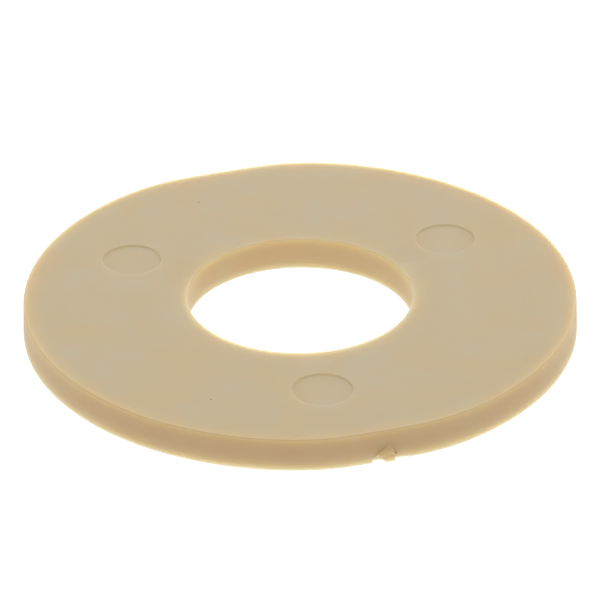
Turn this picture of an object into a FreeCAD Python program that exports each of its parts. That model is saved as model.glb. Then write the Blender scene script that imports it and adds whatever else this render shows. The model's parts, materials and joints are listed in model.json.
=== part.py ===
# A flat washer, injection-moulded in one piece from a nylon-like plastic.
#
# The washer is a plain ring with a round bore. The mould left its marks on the ring, and they are
# part of the shape: two shallow flats on opposite sides of the rim, three round ejector-pin marks in
# the top face, and, in the middle of one flat, a small recess that holds the broken stub of the gate.
#
# Frame: the origin is the centre of the bore on the underside, +Z points out of the top face, and
# the gate is on the -Y side. Lengths are in millimetres and angles in degrees.

import FreeCAD, Part
import math
import os

import Sketcher

# Every size that can be set by itself: the name of its cell, its value and what it measures.
SIZES = [
    ("outer_diameter", 32.0, "rim at the underside, before its edge is rounded"),
    ("bore_diameter", 13.0, "hole for the bolt"),
    ("thickness", 2.0, "underside to top face"),
    ("rim_draft", 2.0, "lean of the rim that lets the ring leave its mould, in degrees"),
    ("edge_radius", 0.1, "rounding of the edges of the rim and the bore"),
    ("gate_flat_depth", 0.25, "how far the flat on the gate's side cuts into the rim"),
    ("rear_flat_depth", 0.35, "how far the opposite flat cuts into the rim"),
    ("pin_count", 3, "ejector-pin marks round the top face"),
    ("pin_diameter", 3.5, "width of one ejector-pin mark"),
    ("pin_depth", 0.06, "how far a mark lies below the top face"),
    ("pin_land", 2.4, "top face left between the bore and a mark"),
    ("pin_start", 20.0, "direction of the first mark, turned from +X, in degrees"),
    ("gate_offset", 0.4, "middle of the gate, from the middle of its flat towards +X"),
    ("gate_recess_width", 1.7, "recess round the gate, along the flat"),
    ("gate_recess_height", 0.5, "recess, up from the underside"),
    ("gate_recess_depth", 0.15, "recess, in from the flat"),
    ("gate_stub_width", 0.9, "broken stub of the gate, along the flat"),
    ("gate_stub_height", 1.0, "stub, up from the underside"),
    ("gate_stub_setback", 0.05, "gap from the stub's end out to the rim's circle"),
    ("cut_margin", 1.0, "how far a cutting sketch passes the rim"),
]

# Distances that the features share, as expressions in the cells. All but the last, which is how far
# the rim leans in over the washer's thickness, are measured from the bore's centre.
BORE_RADIUS = "Sizes.bore_diameter / 2"
OUTER_RADIUS = "Sizes.outer_diameter / 2"
GATE_FLAT = f"{OUTER_RADIUS} - Sizes.gate_flat_depth"
REAR_FLAT = f"{OUTER_RADIUS} - Sizes.rear_flat_depth"
RECESS_FLOOR = f"{GATE_FLAT} - Sizes.gate_recess_depth"
STUB_END = f"{OUTER_RADIUS} - Sizes.gate_stub_setback"
BEYOND_RIM = f"{OUTER_RADIUS} + Sizes.cut_margin"
PIN_DISTANCE = f"{BORE_RADIUS} + Sizes.pin_land + Sizes.pin_diameter / 2"
DRAFT_RUN = "Sizes.thickness * tan(Sizes.rim_draft)"

# The sketcher's own numbers: the origin point, the X axis, and the points of a line or circle.
ORIGIN = -1
X_AXIS = -1
START = 1
END = 2
CENTRE = 3


def make_sheet(document):
    """Put the driving sizes in a spreadsheet, one named cell to a row."""
    sheet = document.addObject("Spreadsheet::Sheet", "Sizes")
    for row, (name, value, meaning) in enumerate(SIZES, start=1):
        sheet.set(f"A{row}", name)
        sheet.set(f"B{row}", str(value))
        sheet.set(f"C{row}", meaning)
        sheet.setAlias(f"B{row}", name)
    document.recompute()


def new_sketch(body, name, plane_role):
    """Start a sketch on one of the body's own origin planes."""
    plane = next(item for item in body.Origin.OriginFeatures if item.Role == plane_role)
    sketch = body.newObject("Sketcher::SketchObject", name)
    sketch.AttachmentSupport = [(plane, "")]
    sketch.MapMode = "FlatFace"
    return sketch


def value_of(sketch, expression):
    """What an expression comes to, as a plain number, for a first placing of the geometry."""
    return float(sketch.evalExpression(expression))


def bind(sketch, kind, points, expression, name):
    """Add a named constraint whose value follows an expression."""
    first_value = value_of(sketch, expression)
    if kind == "Angle":
        first_value = math.radians(first_value)
    index = sketch.addConstraint(Sketcher.Constraint(kind, *points, first_value))
    sketch.renameConstraint(index, name)
    sketch.setExpression(f"Constraints.{name}", expression)


def add_outline(sketch, corners):
    """Draw a closed outline of straight sides through corners given as (x, y)."""
    points = [FreeCAD.Vector(x, y, 0) for x, y in corners]
    sides = []
    for start, end in zip(points, points[1:] + points[:1]):
        sides.append(sketch.addGeometry(Part.LineSegment(start, end), False))
    for side, following in zip(sides, sides[1:] + sides[:1]):
        sketch.addConstraint(Sketcher.Constraint("Coincident", side, END, following, START))
    return sides


def revolve_ring(body):
    """The ring itself, turned round Z from half of its section."""
    section = new_sketch(body, "RingSection", "XZ_Plane")
    inner = value_of(section, BORE_RADIUS)
    outer = value_of(section, OUTER_RADIUS)
    top = value_of(section, "Sizes.thickness")
    lean = value_of(section, DRAFT_RUN)
    corners = [(inner, 0), (outer, 0), (outer - lean, top), (inner, top)]
    underside, rim, top_face, bore_wall = add_outline(section, corners)
    section.addConstraint(Sketcher.Constraint("Horizontal", top_face))
    section.addConstraint(Sketcher.Constraint("Vertical", bore_wall))
    section.addConstraint(Sketcher.Constraint("PointOnObject", underside, START, X_AXIS))
    section.addConstraint(Sketcher.Constraint("PointOnObject", underside, END, X_AXIS))
    bind(section, "DistanceX", (ORIGIN, START, underside, START), BORE_RADIUS, "bore_radius")
    bind(section, "DistanceX", (ORIGIN, START, underside, END), OUTER_RADIUS, "outer_radius")
    bind(section, "DistanceY", (underside, END, rim, END), "Sizes.thickness", "height")
    bind(section, "DistanceX", (rim, END, underside, END), DRAFT_RUN, "draft_run")
    ring = body.newObject("PartDesign::Revolution", "Ring")
    ring.Profile = section
    ring.ReferenceAxis = (section, ["V_Axis"])
    ring.Angle = 360
    return ring


def round_edges(body, ring):
    """Round all four circles where the ring's faces meet."""
    circles = [f"Edge{number}" for number, edge in enumerate(ring.Shape.Edges, start=1)
               if edge.isClosed()]
    rounding = body.newObject("PartDesign::Fillet", "RoundedEdges")
    rounding.Base = (ring, circles)
    rounding.setExpression("Radius", "Sizes.edge_radius")
    return rounding


def draw_block(body, name, side, near, far, width, offset="0"):
    """A rectangle across the Y axis on its +Y side (side 1) or its -Y side (side -1).

    `near` and `far` are the distances of two sides from the bore's centre, `width` is the length
    of those sides, and `offset` is how far their middle lies from the Y axis, all as expressions.
    """
    sketch = new_sketch(body, name, "XY_Plane")
    right_end = f"{offset} + {width} / 2"
    right = value_of(sketch, right_end)
    left = right - value_of(sketch, width)
    near_y = side * value_of(sketch, near)
    far_y = side * value_of(sketch, far)
    corners = [(left, near_y), (right, near_y), (right, far_y), (left, far_y)]
    near_side, right_side, far_side, left_side = add_outline(sketch, corners)
    sketch.addConstraint(Sketcher.Constraint("Horizontal", near_side))
    sketch.addConstraint(Sketcher.Constraint("Horizontal", far_side))
    sketch.addConstraint(Sketcher.Constraint("Vertical", right_side))
    sketch.addConstraint(Sketcher.Constraint("Vertical", left_side))
    bind(sketch, "DistanceX", (ORIGIN, START, near_side, END), right_end, "right_end")
    bind(sketch, "DistanceX", (near_side, START, near_side, END), width, "width")
    for line, distance, label in ((near_side, near, "near"), (far_side, far, "far")):
        ends = (ORIGIN, START, line, START) if side > 0 else (line, START, ORIGIN, START)
        bind(sketch, "DistanceY", ends, distance, label)
    return sketch


def cut_upwards(body, name, sketch, height=None):
    """Cut a sketch out of the body from the underside: up to a height, or right through."""
    pocket = body.newObject("PartDesign::Pocket", name)
    pocket.Profile = sketch
    pocket.Reversed = True
    if height is None:
        pocket.Type = "ThroughAll"
    else:
        pocket.Type = "Length"
        pocket.setExpression("Length", height)


def cut_flats(body):
    """The two flats, opposite each other on the rim."""
    for name, side, distance in (("RearFlat", 1, REAR_FLAT), ("GateFlat", -1, GATE_FLAT)):
        outline = draw_block(body, f"{name}Outline", side, distance, BEYOND_RIM, "Sizes.outer_diameter")
        cut_upwards(body, name, outline)


def cut_pin_marks(body):
    """The ejector-pin marks, spaced evenly round the top face."""
    sketch = new_sketch(body, "PinMarkOutline", "XY_Plane")
    sketch.setExpression("AttachmentOffset.Base.z", "Sizes.thickness")
    reach = value_of(sketch, PIN_DISTANCE)
    radius = value_of(sketch, "Sizes.pin_diameter / 2")
    direction = FreeCAD.Rotation(FreeCAD.Vector(0, 0, 1), value_of(sketch, "Sizes.pin_start"))
    centre = direction.multVec(FreeCAD.Vector(reach, 0, 0))
    upright = FreeCAD.Vector(0, 0, 1)
    circle = sketch.addGeometry(Part.Circle(centre, upright, radius), False)
    spoke = sketch.addGeometry(Part.LineSegment(FreeCAD.Vector(0, 0, 0), centre), True)
    sketch.addConstraint(Sketcher.Constraint("Coincident", spoke, START, ORIGIN, START))
    sketch.addConstraint(Sketcher.Constraint("Coincident", spoke, END, circle, CENTRE))
    bind(sketch, "Distance", (spoke,), PIN_DISTANCE, "reach")
    bind(sketch, "Angle", (spoke,), "Sizes.pin_start * 1 deg", "direction")
    bind(sketch, "Diameter", (circle,), "Sizes.pin_diameter", "width")
    mark = body.newObject("PartDesign::Pocket", "PinMark")
    mark.Profile = sketch
    mark.Type = "Length"
    mark.setExpression("Length", "Sizes.pin_depth")
    marks = body.newObject("PartDesign::PolarPattern", "PinMarks")
    marks.Originals = [mark]
    marks.Axis = (sketch, ["N_Axis"])
    marks.Angle = 360
    marks.setExpression("Occurrences", "Sizes.pin_count")
    body.Tip = marks


def shape_gate(body):
    """The recess in the -Y flat, and the broken stub of the gate that stands in it."""
    outline = draw_block(body, "GateRecessOutline", -1, RECESS_FLOOR, BEYOND_RIM,
                         "Sizes.gate_recess_width", "Sizes.gate_offset")
    cut_upwards(body, "GateRecess", outline, "Sizes.gate_recess_height")
    outline = draw_block(body, "GateStubOutline", -1, RECESS_FLOOR, STUB_END,
                         "Sizes.gate_stub_width", "Sizes.gate_offset")
    stub = body.newObject("PartDesign::Pad", "GateStub")
    stub.Profile = outline
    stub.Type = "Length"
    stub.setExpression("Length", "Sizes.gate_stub_height")
    body.Tip = stub


def build_washer(document):
    """The whole washer, as one body."""
    body = document.addObject("PartDesign::Body", "Washer")
    body.Label = "washer"
    ring = revolve_ring(body)
    document.recompute()
    round_edges(body, ring)
    document.recompute()
    cut_flats(body)
    document.recompute()
    cut_pin_marks(body)
    document.recompute()
    shape_gate(body)
    document.recompute()
    return body


def check_document(document):
    """Stop if any object of the document failed, or a sketch was left loose."""
    for item in document.Objects:
        if "Invalid" in item.State or "Error" in item.State:
            raise RuntimeError(f"{item.Label} failed: {item.State}")
        if item.TypeId == "Sketcher::SketchObject" and not item.FullyConstrained:
            raise RuntimeError(f"{item.Label} is not fully constrained")


def check_volumes(body):
    """Stop if a cut took nothing away or the pad added nothing, and print each feature's volume."""
    before = 0.0
    for feature in body.Group:
        if not feature.isDerivedFrom("PartDesign::Feature"):
            continue
        volume = feature.Shape.Volume
        grows = feature.isDerivedFrom("PartDesign::Revolution") or feature.isDerivedFrom("PartDesign::Pad")
        print(f"{feature.Name}: {volume:.3f} mm3 ({volume - before:+.3f})")
        if (volume > before) != grows:
            raise RuntimeError(f"{feature.Name} changed the volume the wrong way")
        before = volume


def write_node(body):
    """Write a body's one solid to the file that its label names."""
    shape = body.Shape
    if shape.isNull() or not shape.isValid() or len(shape.Solids) != 1:
        raise RuntimeError(f"{body.Label} is not one valid solid")
    box = shape.optimalBoundingBox()
    print(f"{body.Label}: {box.XLength:.3f} x {box.YLength:.3f} x {box.ZLength:.3f} mm")
    shape.exportStep(f"parts/{body.Label}.step")


document = FreeCAD.newDocument("FlatWasher")
make_sheet(document)
washer = build_washer(document)
check_document(document)
check_volumes(washer)
os.makedirs("parts", exist_ok=True)
write_node(washer)
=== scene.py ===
# %% [markdown]
# # A moulded flat washer
#
# The washer is one ring of tan, slightly see-through plastic that came out of a mould. The CAD model
# holds its sizes, and this lesson builds the good-looking version of it. The first cell loads the CAD
# model as a fixed frame. Everything below is made in millimetres, because Blender's tools like
# numbers near one, and each finished mesh is scaled to metres as its last step.

# %% Load the frame
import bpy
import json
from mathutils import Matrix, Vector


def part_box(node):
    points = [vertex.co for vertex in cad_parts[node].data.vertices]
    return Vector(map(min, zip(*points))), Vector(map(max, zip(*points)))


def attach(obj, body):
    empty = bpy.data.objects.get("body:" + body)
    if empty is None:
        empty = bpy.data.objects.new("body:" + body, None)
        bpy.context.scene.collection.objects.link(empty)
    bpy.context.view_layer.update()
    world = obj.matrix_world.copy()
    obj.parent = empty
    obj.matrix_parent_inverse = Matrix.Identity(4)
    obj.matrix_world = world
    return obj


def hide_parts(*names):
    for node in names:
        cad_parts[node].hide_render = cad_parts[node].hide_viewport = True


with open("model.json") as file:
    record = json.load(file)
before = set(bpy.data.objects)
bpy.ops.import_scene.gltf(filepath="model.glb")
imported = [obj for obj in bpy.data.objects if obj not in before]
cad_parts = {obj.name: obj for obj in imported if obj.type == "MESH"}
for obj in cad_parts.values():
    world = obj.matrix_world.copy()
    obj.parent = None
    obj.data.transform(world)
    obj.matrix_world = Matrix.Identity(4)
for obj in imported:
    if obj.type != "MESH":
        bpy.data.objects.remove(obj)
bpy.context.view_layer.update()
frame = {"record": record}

# %% Import Blender's modules
import json
import math

import bmesh
import bpy
from mathutils import Matrix, Vector, noise

# %% [markdown]
# ## Sizes
#
# The overall sizes can be read from the frame: the ring's radius and thickness are the CAD node's
# box, and the bore's radius is in the record, on the mount called bore. The smaller features have no
# entry there, so their sizes are named where they are made, with the values that the CAD model has.

# %% Read the sizes
MM = 0.001

low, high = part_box("washer")
rim_radius = (high.x - low.x) / 2 / MM
thickness = (high.z - low.z) / MM
bore_mount = next(mount for mount in frame["record"]["mounts"] if mount["name"] == "bore")
bore_radius = bore_mount["dims"]["r_mm"]
print(f"ring {2 * rim_radius:.2f} x {thickness:.2f} mm with a bore of {2 * bore_radius:.2f} mm")

# %% [markdown]
# ## The ring
#
# A ring could start as a cylinder with a hole cut through it, but a cut leaves long thin faces. It is
# neater to draw half of the section once, four points, and to spin it round the axis, as a lathe
# would. The rim leans in a little towards the top. That lean is the draft that lets a moulding leave
# its mould.

# %% Spin the section
rim_draft = math.radians(2.0)


def ring_blank(steps=288):
    """The ring with sharp edges, spun from four points of its section."""
    lean = thickness * math.tan(rim_draft)
    section = [
        (bore_radius, 0),
        (rim_radius, 0),
        (rim_radius - lean, thickness),
        (bore_radius, thickness),
    ]
    blank = bmesh.new()
    corners = [blank.verts.new((radius, 0, height)) for radius, height in section]
    sides = [blank.edges.new((corners[i - 1], corners[i])) for i in range(len(corners))]
    bmesh.ops.spin(
        blank,
        geom=corners + sides,
        cent=(0, 0, 0),
        axis=(0, 0, 1),
        angle=math.tau,
        steps=steps,
        use_merge=True,
    )
    bmesh.ops.recalc_face_normals(blank, faces=blank.faces)
    return blank


washer = ring_blank()
print("spun ring:", len(washer.faces), "faces")

# %% [markdown]
# ## The two flats
#
# The rim has a shallow flat on each side, one of them where the gate was. Slicing them off with a
# plane would leave crisp corners at their ends, like a ground flat. These are moulded, and they fade
# into the round of the rim. So the rim's points are pulled in instead, by an amount that follows a
# bell curve round the rim: over its middle, a bell curve cut into a circle is very nearly straight.


# %% Press the flats
def press_flat(mesh, middle, depth, reach):
    """Pull the rim in round the direction `middle`, fading out over about the angle `reach`."""
    for vert in mesh.verts:
        if vert.co.xy.length > (bore_radius + rim_radius) / 2:
            off_middle = vert.co.xy.angle(Vector((math.cos(middle), math.sin(middle))))
            pull = depth * math.exp(-((off_middle / reach) ** 2))
            vert.co.xy *= 1 - pull / vert.co.xy.length


rear_flat = high.y / MM
rear_spare = 0.02  # keeps the whole rear flat inside the CAD model's box
rear_depth = rim_radius - rear_flat + rear_spare
gate_depth = 0.25
gate_flat = rim_radius - gate_depth
press_flat(washer, middle=math.radians(91), depth=rear_depth, reach=math.radians(12))
press_flat(washer, middle=math.radians(271), depth=gate_depth, reach=math.radians(9))
print(f"flats at {rear_flat:.2f} and {gate_flat:.2f} mm from the centre")

# %% [markdown]
# ## Rounded edges
#
# No moulded edge is truly sharp. The long edges are the ones where a flat face meets a wall at about
# a right angle, so they are found by that angle and bevelled together, which also carries the
# rounding along the flats.


# %% Round the long edges
def round_long_edges(mesh, radius, least_turn=math.radians(60)):
    """Bevel every edge that turns by more than `least_turn`, as only the right-angled ones do."""
    sharp = [edge for edge in mesh.edges if edge.calc_face_angle() > least_turn]
    bmesh.ops.bevel(
        mesh,
        geom=sharp,
        offset=radius,
        offset_type="OFFSET",
        affect="EDGES",
        segments=5,
        profile=0.5,
        material=-1,
    )
    return len(sharp)


edge_radius = 0.1
print("rounded edges:", round_long_edges(washer, edge_radius))

# %% [markdown]
# ## The ejector-pin marks
#
# Three pins pushed the washer out of its mould, and each left a shallow round dent in the top face.
# The dents could be painted on with a bump map, but then their edges would be missing from the mesh.
# Each is cut for real: a small turned cutter with a slanting side, which keeps the dent's lip soft,
# is spun like the ring, and a Boolean modifier subtracts it.


# %% Cut one mesh by another
def mesh_object(name, shape):
    """Put a bmesh into a new object of the scene, and free the bmesh."""
    mesh = bpy.data.meshes.new(name)
    shape.to_mesh(mesh)
    shape.free()
    item = bpy.data.objects.new(name, mesh)
    bpy.context.scene.collection.objects.link(item)
    return item


def combined(body_shape, tool_shape, operation):
    """The result of a Boolean modifier on two bmeshes, as a new bmesh. Both old ones are freed."""
    body = mesh_object("combine_body", body_shape)
    tool = mesh_object("combine_tool", tool_shape)
    boolean = body.modifiers.new("combine", "BOOLEAN")
    boolean.operation = operation
    boolean.solver = "EXACT"
    boolean.object = tool
    evaluated = body.evaluated_get(bpy.context.evaluated_depsgraph_get())
    result = bmesh.new()
    result.from_mesh(evaluated.to_mesh())
    evaluated.to_mesh_clear()
    for item in (body, tool):
        mesh = item.data
        bpy.data.objects.remove(item)
        bpy.data.meshes.remove(mesh)
    return result


# %% Cut the pin marks
pin_radius = 3.5 / 2
pin_depth = 0.06
pin_land = 2.4  # the plain face between the bore and each mark
pin_distance = bore_radius + pin_land + pin_radius
pin_directions = [math.radians(20 + 120 * turn) for turn in range(3)]


def pin_cutter(centre, steps=96, slope=0.1):
    """A turned plug with a slanting side, which spans the pin's radius where it meets the face."""
    profile = [
        (0, thickness - pin_depth),
        (pin_radius - slope, thickness - pin_depth),
        (pin_radius + slope, thickness + pin_depth),
        (0, thickness + pin_depth),
    ]
    plug = bmesh.new()
    points = [plug.verts.new((centre.x + reach, centre.y, height)) for reach, height in profile]
    outline = [plug.edges.new(pair) for pair in zip(points, points[1:])]
    bmesh.ops.spin(
        plug,
        geom=points + outline,
        cent=(centre.x, centre.y, 0),
        axis=(0, 0, 1),
        angle=math.tau,
        steps=steps,
        use_merge=True,
    )
    bmesh.ops.remove_doubles(plug, verts=plug.verts, dist=0.001)
    bmesh.ops.recalc_face_normals(plug, faces=plug.faces)
    return plug


for direction in pin_directions:
    centre = Vector((math.cos(direction), math.sin(direction), 0)) * pin_distance
    washer = combined(washer, pin_cutter(centre), "DIFFERENCE")
print("with pin marks:", len(washer.faces), "faces")

# %% [markdown]
# ## The gate
#
# The plastic ran into the mould through a gate in the middle of one flat. When the washer was broken
# off its runner, the gate left a torn stub, in a small recess that keeps most of it inside the rim.
# Both are lumps with a few slanting faces, not boxes. The convex hull of some chosen points makes
# such a lump at once. Every point is given as a place along the flat, a distance in from the rim's
# circle and a height. The stub's faces are then divided and pushed about a little with noise, so that
# the break looks like a break. Blender's noise vectors start from the clock, so they are given a
# fixed seed first, and every run makes the same washer.


# %% Make lumps from points
def lump(points):
    """The convex hull of points given as (along the flat, in from the rim's circle, height)."""
    shape = bmesh.new()
    corners = [shape.verts.new((along, depth - rim_radius, up)) for along, depth, up in points]
    hull = bmesh.ops.convex_hull(shape, input=corners)
    bmesh.ops.delete(shape, geom=hull["geom_interior"], context="VERTS")
    bmesh.ops.recalc_face_normals(shape, faces=shape.faces)
    return shape


# %% Cut the recess
outside = -1.0
below = -1.0
recess_left = -0.6
recess_right = 1.45
deep_end = 0.5
shallow_end = 0.38
recess = lump(
    [
        (recess_left, deep_end, below),
        (recess_right, shallow_end, below),
        (recess_left, deep_end, 0.15),
        (recess_right, shallow_end, 0.1),
        (recess_left, outside, below),
        (recess_right, outside, below),
        (recess_left, outside, 1.3),
        (recess_right, outside, 1.0),
    ]
)
washer = combined(washer, recess, "DIFFERENCE")

# %% Tear the stub
stub_end = 0.05
root = 0.8
lowest = 0.005


def torn_stub():
    """The stub of the gate: a slanting tear from its peak down to its end, with a ragged surface."""
    stub = lump(
        [
            (0.44, 0.27, 1.06),
            (-0.38, 0.12, 0.5),
            (0.6, stub_end, 0.56),
            (0.2, stub_end, 0.03),
            (0.7, 0.1, 0.03),
            (0.44, root, 1.3),
            (-0.45, root, 0.4),
            (0.8, root, 0.6),
            (0.1, root, 0.03),
            (0.8, root, 0.03),
        ]
    )
    bmesh.ops.triangulate(stub, faces=stub.faces)
    bmesh.ops.subdivide_edges(stub, edges=stub.edges, cuts=7, use_grid_fill=True)
    noise.seed_set(1)
    for vert in stub.verts:
        lumps = noise.noise_vector(vert.co * 4) * 0.04
        grains = noise.noise_vector(vert.co * 11) * 0.015
        vert.co += lumps + grains
        vert.co.y = max(vert.co.y, stub_end - rim_radius)
        vert.co.z = max(vert.co.z, lowest)
    bmesh.ops.recalc_face_normals(stub, faces=stub.faces)
    return stub


washer = combined(washer, torn_stub(), "UNION")
print("with the gate:", len(washer.faces), "faces")

# %% [markdown]
# ## Finish the mesh
#
# The mesh is scaled to metres in its own vertices, so that its object can stay at the origin,
# unturned and unscaled. Smooth shading on its own would bend the light across the wide flat faces,
# so a Weighted Normal modifier makes the big faces decide the normals, and only the narrow rounded
# strips between them look curved. The lips of the pin marks turn more steeply than those strips do.
# They are marked as sharp edges, so they cannot tilt the light on the wide face beside them.


# %% Make the washer's object
def finished(name, shape, smooth_below):
    """Scale a bmesh in millimetres to metres and make it a smooth-shaded object on the CAD body."""
    bmesh.ops.remove_doubles(shape, verts=shape.verts, dist=1e-4)
    bmesh.ops.recalc_face_normals(shape, faces=shape.faces)
    bmesh.ops.scale(shape, vec=(MM, MM, MM), verts=shape.verts)
    for face in shape.faces:
        face.smooth = True
    item = mesh_object(name, shape)
    item.data.set_sharp_from_angle(angle=smooth_below)
    weighted = item.modifiers.new("flat faces stay flat", "WEIGHTED_NORMAL")
    weighted.keep_sharp = True
    weighted.weight = 100
    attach(item, "root")
    return item


moulding = finished("washer_moulding", washer, smooth_below=math.radians(22))
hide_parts("washer")
print("finished mesh:", len(moulding.data.polygons), "faces")

# %% [markdown]
# ## The plastic
#
# Natural nylon lets light in a little way and scatters it back out, which is why its edges glow and
# its corners look soft. Subsurface scattering does this. The colour is what comes back out, and the
# radius says how far each of red, green and blue travels: red goes furthest, so thin edges turn warm.
#
# Every material here starts the same way, from an empty node tree and two helpers.


# %% Start a material
def new_material(name):
    """A material with an empty node tree, with helpers that add a node to it and link two."""
    material = bpy.data.materials.new(name)
    material.use_nodes = True
    material.node_tree.nodes.clear()

    def add(kind, **values):
        node = material.node_tree.nodes.new(kind)
        for key, value in values.items():
            if key in node.inputs:
                node.inputs[key].default_value = value
            else:
                setattr(node, key, value)
        return node

    return material, add, material.node_tree.links.new


# %% [markdown]
# ## Blending tints
#
# The plastic's colour is one tint blended into the next, again and again. Each blend needs to know
# how much of the new tint there is, and that always comes from some measure of the surface: its
# distance from the axis, its height or the way it faces. A band says where on that measure the new
# tint starts to show and where it is complete. These steps repeat, so one small class holds them.


# %% Blend with nodes
class TintMixer:
    """Adds the nodes that blend the tints of one material."""

    # A Mix node repeats its sockets for numbers, vectors and colours under the same names, so the
    # colour ones have to be picked by their places.
    COLOURS_IN = (6, 7)
    COLOUR_OUT = 2

    def __init__(self, add, link, in_millimetres):
        self.add = add
        self.link = link
        self.in_millimetres = in_millimetres
        self.clouds = add("ShaderNodeTexNoise", Scale=0.35, Detail=4.0, Roughness=0.55)
        link(in_millimetres, self.clouds.inputs["Vector"])

    def clouded(self, tints):
        """A colour that wanders between two tints."""
        ramp = self.add("ShaderNodeValToRGB")
        for element, position, tint in zip(ramp.color_ramp.elements, (0.3, 0.7), tints):
            element.position = position
            element.color = (*tint, 1)
        self.link(self.clouds.outputs["Fac"], ramp.inputs["Fac"])
        return ramp.outputs["Color"]

    def share(self, measure, band):
        """How much of a tint there is: 0 at the band's first value, 1 at its second."""
        node = self.add("ShaderNodeMapRange", interpolation_type="SMOOTHSTEP")
        node.inputs["From Min"].default_value = band[0]
        node.inputs["From Max"].default_value = band[1]
        self.link(measure, node.inputs["Value"])
        return node.outputs["Result"]

    def blended(self, start, end, amount, how="MIX"):
        """One colour blended into another. `end` is a plain tint or another output."""
        node = self.add("ShaderNodeMix", data_type="RGBA", blend_type=how)
        first, second = (node.inputs[place] for place in self.COLOURS_IN)
        self.link(amount, node.inputs["Factor"])
        self.link(start, first)
        if isinstance(end, tuple):
            second.default_value = (*end, 1)
        else:
            self.link(end, second)
        return node.outputs[self.COLOUR_OUT]

    def upward(self, vector):
        """The Z part of a vector."""
        node = self.add("ShaderNodeSeparateXYZ")
        self.link(vector, node.inputs["Vector"])
        return node.outputs["Z"]

    def distance_to(self, point):
        """How far a place on the surface lies from a point, in millimetres."""
        node = self.add("ShaderNodeVectorMath", operation="DISTANCE")
        self.link(self.in_millimetres, node.inputs[0])
        node.inputs[1].default_value = point
        return node.outputs["Value"]

    def distance_from_axis(self):
        """How far a place on the surface lies from the bore's axis, in millimetres."""
        flattened = self.add("ShaderNodeVectorMath", operation="MULTIPLY")
        flattened.inputs[1].default_value = (1, 1, 0)
        self.link(self.in_millimetres, flattened.inputs[0])
        length = self.add("ShaderNodeVectorMath", operation="LENGTH")
        self.link(flattened.outputs["Vector"], length.inputs[0])
        return length.outputs["Value"]


# %% [markdown]
# ## The tints
#
# The walls carry painted shade and light. The rim faces sideways, where the washer gets less light,
# so it is painted a deeper, yellower tan than the top face: painted shade. The bore's wall is painted
# a lighter tan than the rim, as painted light from the lit sheet under the hole. The direction that a
# surface faces tells faces from walls, so the colour is blended by the object's own normal. Near the
# rim the top face takes on some of the rim's colour, which is painted shade along its outer edge.
#
# Scattering alone makes the thin rounded corners shine like a bright line, so they are painted a
# slightly deeper tint, as painted shade. The walls turn paler towards the table, as painted light for
# the glow of the lit sheet below, and the tear of the gate has a tint of its own, since torn plastic
# loses its gloss. A few dark specks are what recycled scrap leaves in such a moulding.

# %% Choose the tints
FACE_TINTS = ((0.49, 0.37, 0.21), (0.465, 0.39, 0.24))
# painted shade: the rim's tints are deeper and yellower than the faces', as if the sideways walls got
# less light
RIM_SHADE_TINTS = ((0.485, 0.35, 0.185), (0.475, 0.365, 0.205))
# painted light: the bore's wall is tinted lighter than the rim, as if lit through the hole by the
# sheet below
BORE_LIGHT_TINTS = ((0.585, 0.43, 0.23), (0.575, 0.45, 0.25))
# painted light: the walls' paler tint near the table, for the glow of the lit sheet below
LOW_GLOW_TINT = (0.51, 0.42, 0.27)
TORN_TINT = (0.475, 0.37, 0.20)
# painted shade: multiplied into the rounded edges so that they do not shine as a bright line
EDGE_SHADE_TINT = (0.84, 0.84, 0.88)
SPECK_TINT = (0.15, 0.12, 0.07)

# painted light and shade: blends the bore's lighter tint into the rim's deeper one with the distance
# from the axis
bore_light_to_rim_shade_band = (bore_radius, rim_radius)
# painted light: the height over which the walls turn paler towards the table
low_glow_band = (1.1, -0.2)
# painted shade: how far a surface must face up to lose the walls' painted shade and take the face's
# tint
wall_shade_to_face_band = (0.6, 1.0)
# painted shade: the band near the rim where the top face takes on the rim's deeper tint
rim_edge_shade_band = (rim_radius - 0.9, rim_radius + 0.2)
# painted shade: the bands that find the rounded edges by how far they face up
edge_shade_bands = ((0.1, 0.35), (0.88, 0.75))
torn_middle = (0.3, -rim_radius, 0.65)
torn_band = (0.75, 0.4)


# %% Place the specks
def polar(radius, degrees, up):
    """A point given by its distance from the bore's axis, its direction and its height."""
    direction = math.radians(degrees)
    return (radius * math.cos(direction), radius * math.sin(direction), up)


speck_radius = 0.05
speck_band = (1.5 * speck_radius, 0.5 * speck_radius)
specks = [
    polar(12.5, 102, thickness),
    polar(12.6, 230, thickness),
    (-0.75, -gate_flat, 0.05),
    (0.77, -gate_flat, 0.44),
    (1.0, -gate_flat, 0.12),
]
print("specks in the plastic:", len(specks))


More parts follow.
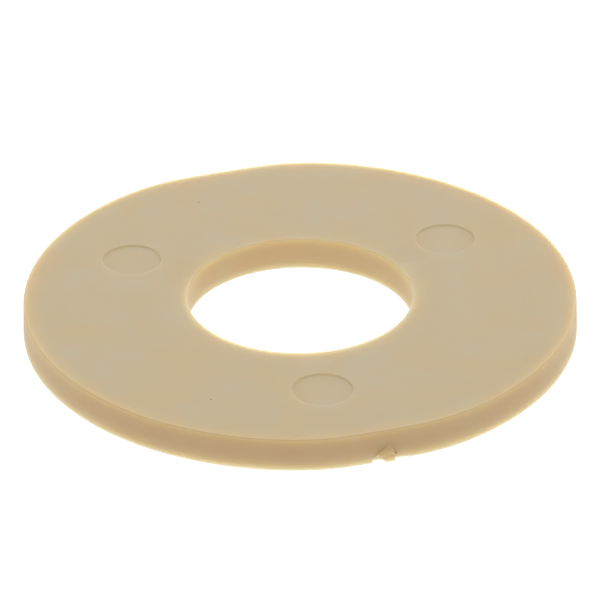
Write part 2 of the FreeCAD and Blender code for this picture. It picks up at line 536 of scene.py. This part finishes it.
# %% Blend the tints
def plastic_colour_with_painted_light(mixer, normal):
    """Pale faces, walls with painted shade and light, rounded edges with painted shade, the tear and
    a few specks, as one colour output.
    """
    from_axis = mixer.distance_from_axis()
    # painted light: the bore's lighter tint
    bore_light_tint = mixer.clouded(BORE_LIGHT_TINTS)
    # painted shade: the rim's deeper tint
    rim_shade_tint = mixer.clouded(RIM_SHADE_TINTS)
    wall_light_and_shade = mixer.blended(bore_light_tint, rim_shade_tint, mixer.share(from_axis, bore_light_to_rim_shade_band))
    # painted light: the walls turn paler towards the table
    height = mixer.upward(mixer.in_millimetres)
    wall_light_and_shade = mixer.blended(wall_light_and_shade, LOW_GLOW_TINT, mixer.share(height, low_glow_band))

    # painted shade: surfaces that face sideways keep the walls' deeper tints, the faces take their
    # own
    faces_up = mixer.add("ShaderNodeMath", operation="ABSOLUTE")
    mixer.link(mixer.upward(normal), faces_up.inputs[0])
    flatness = faces_up.outputs["Value"]
    face_tint = mixer.clouded(FACE_TINTS)
    colour = mixer.blended(wall_light_and_shade, face_tint, mixer.share(flatness, wall_shade_to_face_band))
    # painted shade: the top face darkens towards the rim
    colour = mixer.blended(colour, wall_light_and_shade, mixer.share(from_axis, rim_edge_shade_band))

    # painted shade: the rounded edges are darkened
    painted_edge_shade = mixer.add("ShaderNodeMath", operation="MULTIPLY")
    for socket, band in zip(painted_edge_shade.inputs, edge_shade_bands):
        mixer.link(mixer.share(flatness, band), socket)
    colour = mixer.blended(colour, EDGE_SHADE_TINT, painted_edge_shade.outputs["Value"], how="MULTIPLY")

    from_tear = mixer.distance_to(torn_middle)
    colour = mixer.blended(colour, TORN_TINT, mixer.share(from_tear, torn_band))
    for speck in specks:
        from_speck = mixer.distance_to(speck)
        colour = mixer.blended(colour, SPECK_TINT, mixer.share(from_speck, speck_band))
    return colour


# %% [markdown]
# ## The finish
#
# One fine noise serves twice. As a bump it gives the faces their satin grain, and it also varies the
# roughness, so that no reflection is perfectly even. The shine is kept low, because light that goes
# into such plastic says more about it than light that bounces off.

# %% Mix the plastic
scatter_distance = 2.1 * MM
scatter_by_colour = (1.0, 0.88, 0.6)
shine = 0.2


def moulded_plastic():
    """Tan translucent plastic with a fine satin grain, and painted shade and light in its tints."""
    material, add, link = new_material("moulded_plastic")
    place = add("ShaderNodeTexCoord")
    mapping = add("ShaderNodeMapping", Scale=(1 / MM, 1 / MM, 1 / MM))
    link(place.outputs["Object"], mapping.inputs["Vector"])
    in_millimetres = mapping.outputs["Vector"]

    grain = add("ShaderNodeTexNoise", Scale=9.0, Detail=3.0, Roughness=0.6)
    link(in_millimetres, grain.inputs["Vector"])
    grain_bump = add("ShaderNodeBump", Strength=0.12, Distance=0.02 * MM)
    link(grain.outputs["Fac"], grain_bump.inputs["Height"])
    satin = add("ShaderNodeMapRange")
    satin.inputs["To Min"].default_value = 0.42
    satin.inputs["To Max"].default_value = 0.58
    link(grain.outputs["Fac"], satin.inputs["Value"])

    colour = plastic_colour_with_painted_light(TintMixer(add, link, in_millimetres), place.outputs["Normal"])
    shader = add("ShaderNodeBsdfPrincipled", IOR=1.5)
    shader.inputs["Specular IOR Level"].default_value = shine
    shader.inputs["Subsurface Weight"].default_value = 1.0
    shader.inputs["Subsurface Scale"].default_value = scatter_distance
    shader.inputs["Subsurface Radius"].default_value = scatter_by_colour
    link(colour, shader.inputs["Base Color"])
    link(satin.outputs["Result"], shader.inputs["Roughness"])
    link(grain_bump.outputs["Normal"], shader.inputs["Normal"])
    output = add("ShaderNodeOutputMaterial")
    link(shader.outputs["BSDF"], output.inputs["Surface"])
    return material


moulding.data.materials.append(moulded_plastic())
print("nodes in the plastic:", len(moulding.data.materials[0].node_tree.nodes))

# %% [markdown]
# ## The table
#
# The washer lies on a white diffusing sheet that is lit from below, as on a light table. A plain
# white floor would show a grey shadow under the washer. A sheet that shines by itself stays white
# right up to the rim, and it also lights the lower edge of the plastic, which then glows.


# %% Lay the floor
def lit_sheet():
    """A white sheet that gives off its own light, with the faint fibres of drafting film."""
    material, add, link = new_material("white_sheet")
    place = add("ShaderNodeTexCoord")
    fibres = add("ShaderNodeTexNoise", Scale=400.0, Detail=4.0, Roughness=0.6)
    link(place.outputs["Object"], fibres.inputs["Vector"])
    fibre_bump = add("ShaderNodeBump", Strength=0.1, Distance=0.02 * MM)
    link(fibres.outputs["Fac"], fibre_bump.inputs["Height"])
    sheet = add("ShaderNodeBsdfPrincipled", Roughness=0.9)
    sheet.inputs["Base Color"].default_value = (0.2, 0.2, 0.2, 1)
    sheet.inputs["Specular IOR Level"].default_value = 0.2
    sheet.inputs["Emission Color"].default_value = (1, 1, 1, 1)
    sheet.inputs["Emission Strength"].default_value = 1.0
    link(fibre_bump.outputs["Normal"], sheet.inputs["Normal"])
    output = add("ShaderNodeOutputMaterial")
    link(sheet.outputs["BSDF"], output.inputs["Surface"])
    return material


floor_gap = 0.02
floor_size = 2000
floor_shape = bmesh.new()
bmesh.ops.create_grid(floor_shape, x_segments=1, y_segments=1, size=floor_size)
bmesh.ops.translate(floor_shape, vec=(0, 0, -floor_gap), verts=floor_shape.verts)
bmesh.ops.scale(floor_shape, vec=(MM, MM, MM), verts=floor_shape.verts)
floor = mesh_object("floor", floor_shape)
floor.data.materials.append(lit_sheet())

# %% [markdown]
# ## The light
#
# The washer lies in an evenly lit white room, in front of one large and brighter soft light. That
# light, with the painted shade on the walls, makes the near rim look deep and yellow, while the far
# edges and the near edge of the bore glow: the light comes through them from behind. Lamps could do
# this too, but they would leave hard highlights. Here the world itself is the studio: it has one even
# strength, which rises smoothly to a brighter one round the direction of the soft light.


# %% Light the scene
def studio_world(bright_towards, glow_ends, dim, bright):
    """A white world of strength `dim`, which rises to `bright` within `glow_ends` of a direction."""
    world = bpy.data.worlds.new("studio")
    world.use_nodes = True
    nodes, link = world.node_tree.nodes, world.node_tree.links.new
    place = nodes.new("ShaderNodeTexCoord")
    along = nodes.new("ShaderNodeVectorMath")
    along.operation = "DOT_PRODUCT"
    along.inputs[1].default_value = bright_towards
    link(place.outputs["Generated"], along.inputs[0])
    strength = nodes.new("ShaderNodeMapRange")
    strength.interpolation_type = "SMOOTHSTEP"
    strength.inputs["From Min"].default_value = math.cos(glow_ends)
    strength.inputs["To Min"].default_value = dim
    strength.inputs["To Max"].default_value = bright
    link(along.outputs["Value"], strength.inputs["Value"])
    background = nodes["Background"]
    background.inputs["Color"].default_value = (1, 1, 1, 1)
    link(strength.outputs["Result"], background.inputs["Strength"])
    bpy.context.scene.world = world


soft_light = Vector((0.4, 0.8, 0.35)).normalized()
studio_world(bright_towards=soft_light, glow_ends=math.radians(49.46), dim=0.85, bright=2.6)

# %% [markdown]
# ## The camera
#
# A long lens from thirty centimetres away looks down at about thirty degrees. The camera is placed
# by its direction, its distance and a tiny roll, and it aims at a point on the washer's axis.

# %% Place the camera
camera_azimuth = math.radians(-16.6)
camera_elevation = math.radians(30.5)
camera_distance = 300
camera_roll = math.radians(-0.53)
aim_height = 1.62

camera_data = bpy.data.cameras.new("camera")
camera_data.lens = 311.2
camera_data.sensor_width = 36
camera_data.clip_start = 0.01
camera_data.clip_end = 10
camera = bpy.data.objects.new("camera", camera_data)
bpy.context.scene.collection.objects.link(camera)
back = Vector(
    (
        math.sin(camera_azimuth) * math.cos(camera_elevation),
        -math.cos(camera_azimuth) * math.cos(camera_elevation),
        math.sin(camera_elevation),
    )
)
camera.location = back * camera_distance * MM
gaze = Vector((0, 0, aim_height)) * MM - camera.location
turn = gaze.to_track_quat("-Z", "Y").to_matrix() @ Matrix.Rotation(camera_roll, 3, "Z")
camera.rotation_euler = turn.to_euler()
bpy.context.scene.camera = camera
bpy.context.scene.view_settings.view_transform = "Standard"
print("camera at", [round(value, 3) for value in camera.location], "metres")
